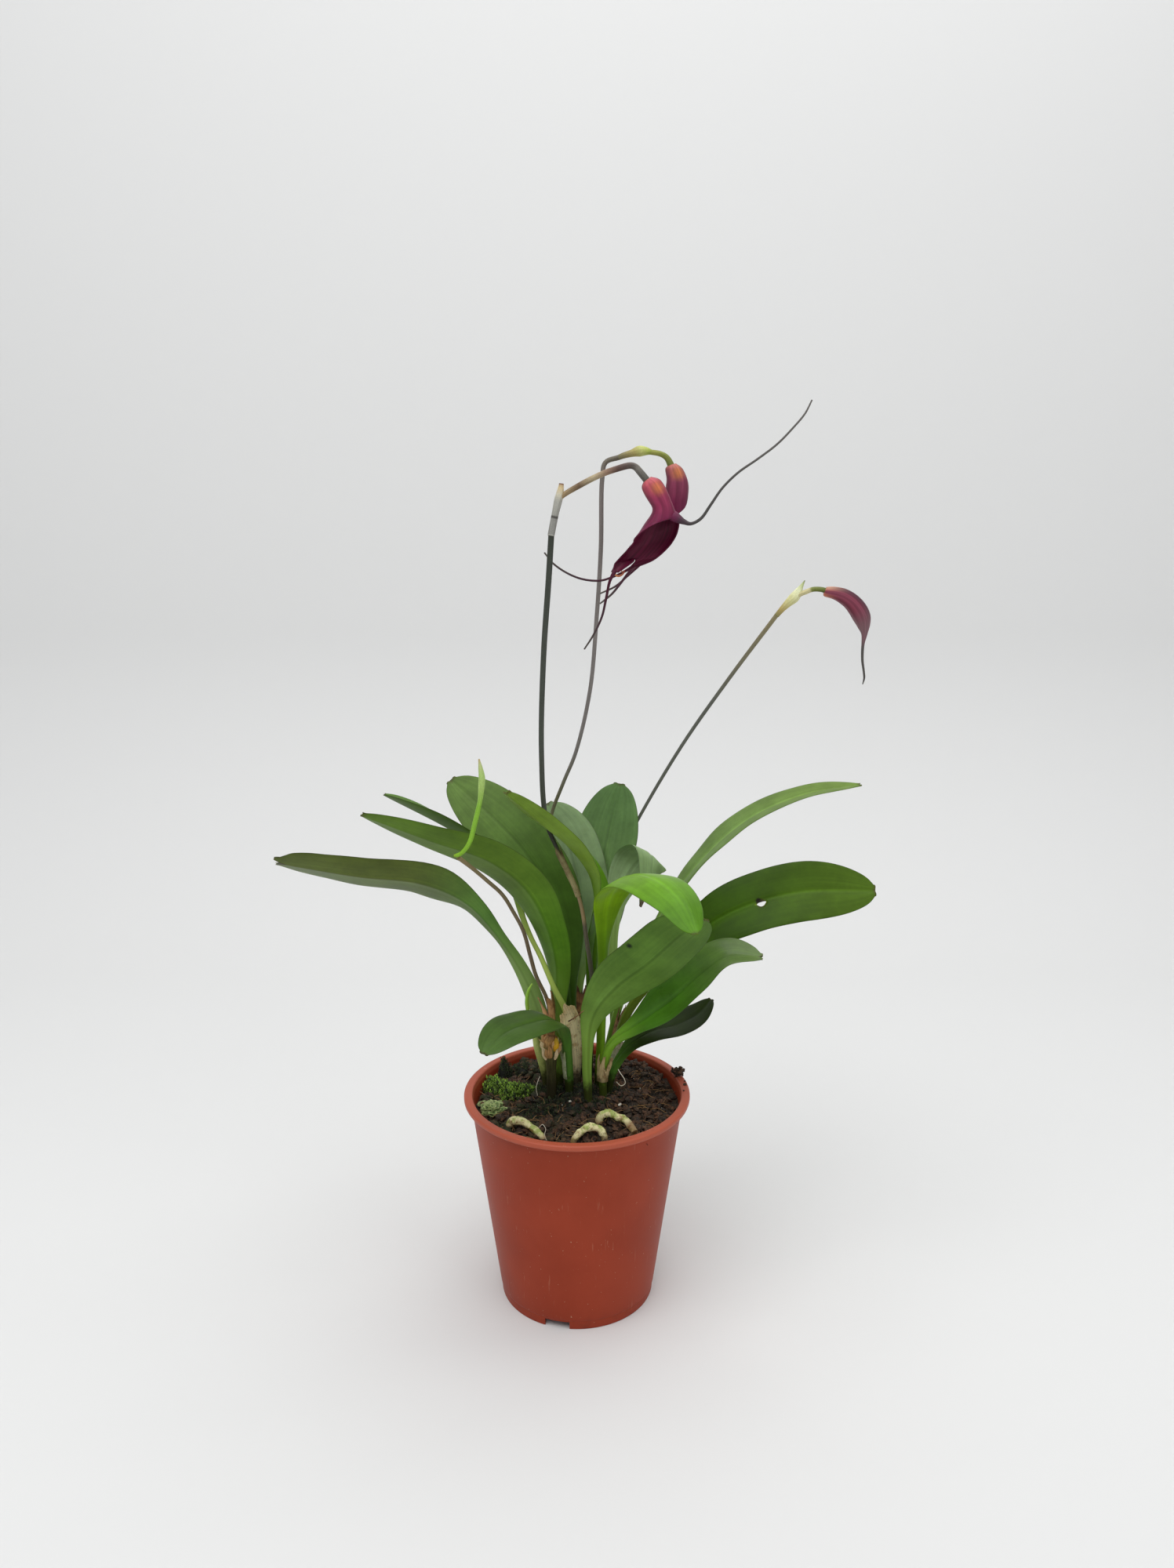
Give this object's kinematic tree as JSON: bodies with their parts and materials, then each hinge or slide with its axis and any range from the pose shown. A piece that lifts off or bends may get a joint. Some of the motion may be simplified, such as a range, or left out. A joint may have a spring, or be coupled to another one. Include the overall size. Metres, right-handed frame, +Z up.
{
  "type": "potted masdevallia orchid",
  "caption": "Small tufted orchid in a plastic nursery pot: thick strap leaves, thin flower stems, hanging tubular flowers with long tails, bark and moss on top.",
  "frame": {"origin": "centre of the plant's footprint on the surface the pot stands on, which is also the pot's axis", "axes": "+Z up along the pot's axis; -Y towards the front of the plant; +X to the right as seen from the front"},
  "size_m": [0.2324, 0.1154, 0.3489],
  "materials": {
    "pot": "satin terracotta-brown moulded plastic with fine scuffs",
    "substrate": "dark damp bark, peat and fibre",
    "moss": "bright green cushion moss",
    "liverwort": "pale green lobes",
    "root": "pale cream-green skin with brown stains",
    "leaf": "thick smooth leaf with a soft gloss and dark edge",
    "leaf_young": "bright yellow-green young tissue",
    "stem": "grey-purple smooth stem",
    "dry_sheath": "dry papery tan, brown and cream",
    "bract": "yellow-green thin bract",
    "flower": "waxy maroon with a coral crown"
  },
  "bodies": {
    "root": {"pot": "pot", "substrate": "substrate", "soil_clump": "substrate", "moss_cushion": "moss", "liverwort_patch": "liverwort", "aerial_root_left": "root", "aerial_root_middle": "root", "aerial_root_right": "root", "leaf_far_left": "leaf", "leaf_left_upper": "leaf", "leaf_left_narrow": "leaf", "leaf_left_broad": "leaf", "leaf_twisted": "leaf", "leaf_back_rounded": "leaf", "leaf_back_upright": "leaf", "leaf_back_small": "leaf", "leaf_young_arching": "leaf_young", "leaf_right_narrow": "leaf", "leaf_right_large": "leaf", "leaf_front_broad": "leaf", "leaf_front_glossy": "leaf", "leaf_right_dark": "leaf", "leaf_left_small": "leaf", "young_shoot": "leaf_young", "old_stem": "stem", "sheath_pale_large": "dry_sheath", "sheath_brown_back": "dry_sheath", "sheath_brown_torn": "dry_sheath", "sheath_green": "dry_sheath", "sheath_strip": "dry_sheath", "sheath_tan_front": "dry_sheath", "sheath_brown_right": "dry_sheath", "sheath_flake": "dry_sheath", "sheath_peduncle": "dry_sheath", "peduncle_tall": "stem", "peduncle_thin": "stem", "peduncle_right": "stem", "peduncle_budding": "stem", "bract_dry": "dry_sheath", "bract_green": "bract", "bract_pointed": "bract", "pedicel_tall": "stem", "pedicel_thin": "stem", "pedicel_right": "stem", "bud_green": "leaf_young", "flower_bud": "flower", "flower_front": "flower", "flower_back": "flower"}
  },
  "joints": []
}
